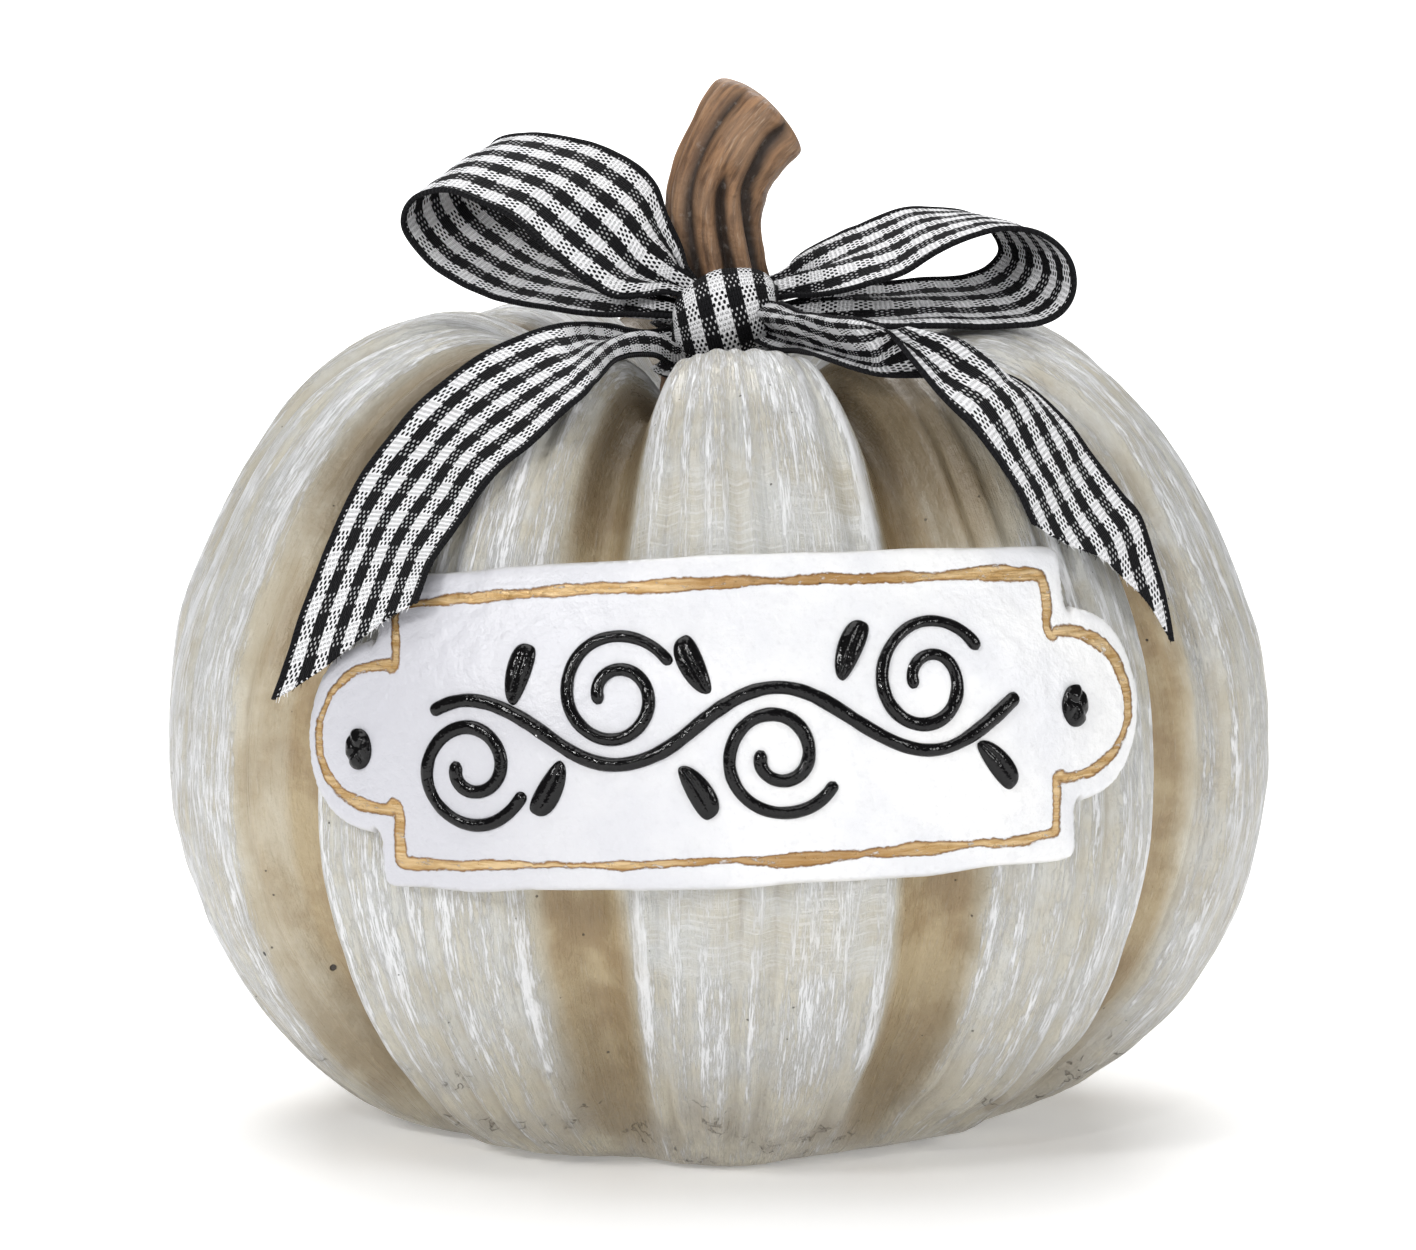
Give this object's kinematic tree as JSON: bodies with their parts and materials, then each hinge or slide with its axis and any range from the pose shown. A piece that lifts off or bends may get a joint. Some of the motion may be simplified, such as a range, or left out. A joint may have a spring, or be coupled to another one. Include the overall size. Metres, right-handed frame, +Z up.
{
  "type": "ceramic pumpkin figure",
  "caption": "Hollow whitewashed ceramic pumpkin with ribbed lobes, a bent brown stem, a tied gingham bow and a curved ticket-shaped plaque with a gold line and raised black scroll.",
  "frame": {"origin": "middle of the flat base the pumpkin stands on", "axes": "+Z up, -Y out of the front where the plaque is, +X to the viewer's right when looking at the plaque"},
  "size_m": [0.161, 0.1675, 0.151],
  "materials": {
    "whitewashed_ceramic": "satin, white dry-brush over cream with tan in the grooves",
    "brown_stem": "painted, satin",
    "white_plaque": "painted, satin",
    "gold_paint": "brushed gold paint",
    "black_enamel": "raised gloss enamel",
    "gingham_ribbon": "black and white woven check"
  },
  "bodies": {
    "root": {"pumpkin_body": "whitewashed_ceramic", "stem": "brown_stem", "plaque": "white_plaque", "plaque_border": "gold_paint", "rivet_left": "black_enamel", "rivet_right": "black_enamel", "scroll_vine": "black_enamel", "stem_band": "gingham_ribbon", "bow_knot": "gingham_ribbon", "bow_loop_left": "gingham_ribbon", "bow_loop_right": "gingham_ribbon", "bow_tail_left": "gingham_ribbon", "bow_tail_right": "gingham_ribbon", "scroll_spiral_1": "black_enamel", "scroll_spiral_2": "black_enamel", "scroll_spiral_3": "black_enamel", "scroll_spiral_4": "black_enamel", "scroll_leaf_1": "black_enamel", "scroll_leaf_2": "black_enamel", "scroll_leaf_3": "black_enamel", "scroll_leaf_4": "black_enamel", "scroll_leaf_5": "black_enamel", "scroll_leaf_6": "black_enamel"}
  },
  "joints": []
}
